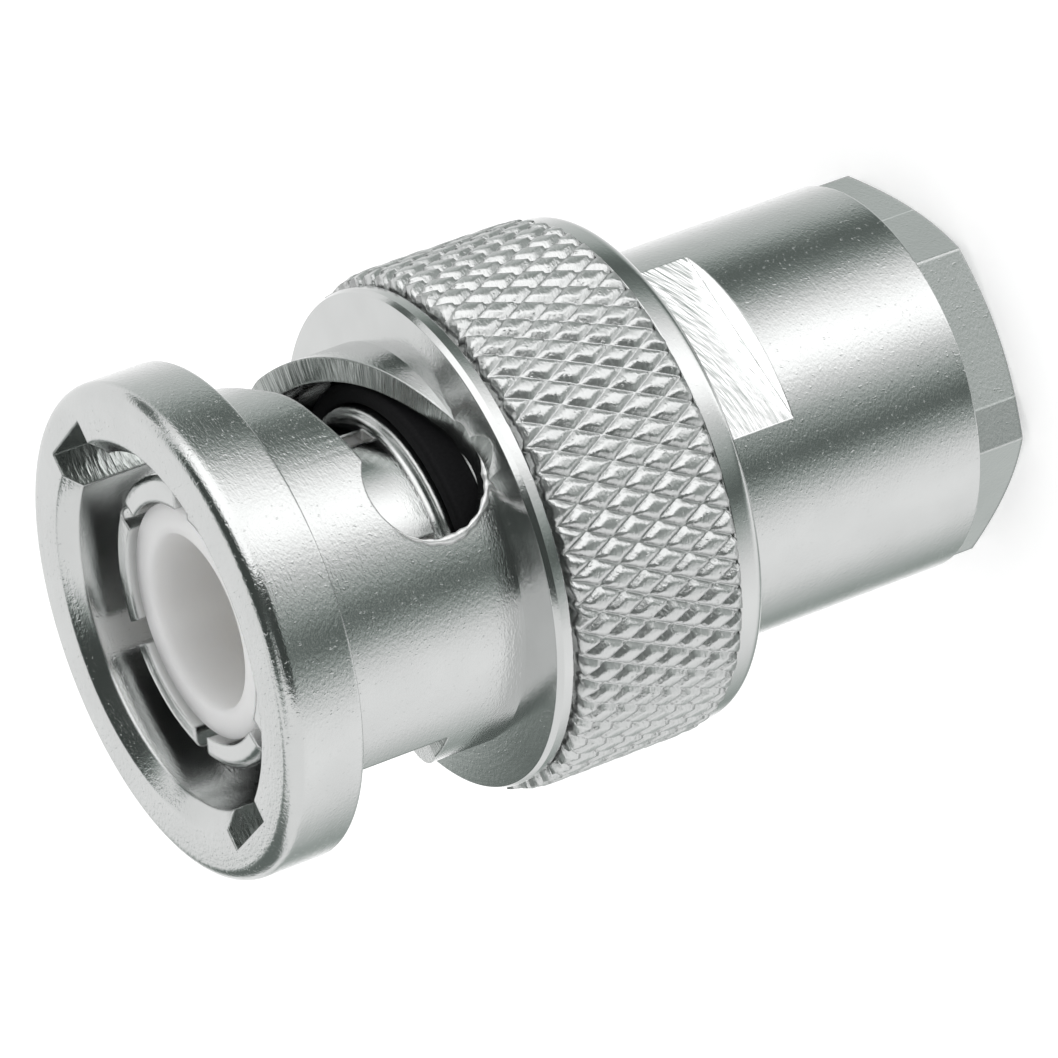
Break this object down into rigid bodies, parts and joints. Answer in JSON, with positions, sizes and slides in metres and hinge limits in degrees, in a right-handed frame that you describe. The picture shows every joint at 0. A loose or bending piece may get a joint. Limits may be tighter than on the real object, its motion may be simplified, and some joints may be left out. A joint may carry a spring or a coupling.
{
  "type": "bnc connector",
  "caption": "Straight coaxial cable plug with a knurled bayonet coupling sleeve, slotted outer contact, pin contact and a screwed cable gland with a hex nut.",
  "frame": {"origin": "centre of the gland nut's rear face, on the plug's axis, where the plug stands", "axes": "+Z along the plug's axis out of its mating end; +X towards the middle of the side that shows the first bayonet window's round detent, 15.3 degrees before it; +Y by the right-hand rule"},
  "size_m": [0.0146, 0.0146, 0.024],
  "materials": {
    "plated_sleeve": "satin nickel plate",
    "plated_body": "nickel plate",
    "plated_inner": "nickel plate",
    "spring_bronze": "bare spring bronze",
    "gold_contact": "gold plate",
    "white_insulator": "soft white fluoropolymer",
    "seal_rubber": "matte moulded rubber"
  },
  "bodies": {
    "plug": {"outer_contact": "plated_inner", "front_insulator": "white_insulator", "centre_contact": "gold_contact", "rear_insulator": "white_insulator", "plug_body": "plated_body", "interface_gasket": "seal_rubber", "wave_washer_front": "spring_bronze", "wave_washer_rear": "spring_bronze", "braid_clamp": "plated_inner", "cable_gasket": "seal_rubber"},
    "spring_plate": {"thrust_washer": "plated_inner"},
    "sleeve": {"coupling_sleeve": "plated_sleeve"},
    "gland_plate": {"gland_washer": "plated_inner"},
    "nut": {"gland_nut": "plated_body"}
  },
  "joints": [
    {"name": "sleeve_float", "type": "slide", "parent": "plug", "child": "spring_plate", "axis": [0, 0, 1], "range_m": [0, 0.0006], "stiffness_N_per_m": 20000, "springref_m": -0.0004, "deforming": ["wave_washer_front", "wave_washer_rear"]},
    {"name": "sleeve_turn", "type": "hinge", "parent": "spring_plate", "child": "sleeve", "pos_m": [0, 0, 0.014], "axis": [0, 0, 1], "continuous": true},
    {"name": "nut_travel", "type": "slide", "parent": "plug", "child": "gland_plate", "axis": [0, 0, -1], "range_m": [0, 0.00225]},
    {"name": "nut_turn", "type": "hinge", "parent": "gland_plate", "child": "nut", "pos_m": [0, 0, 0.002], "axis": [0, 0, -1], "range_deg": [0, 1080]}
  ],
  "couplings": [
    {"joint": "nut_turn", "follows": "nut_travel", "rad_per_m": 8377.6}
  ]
}
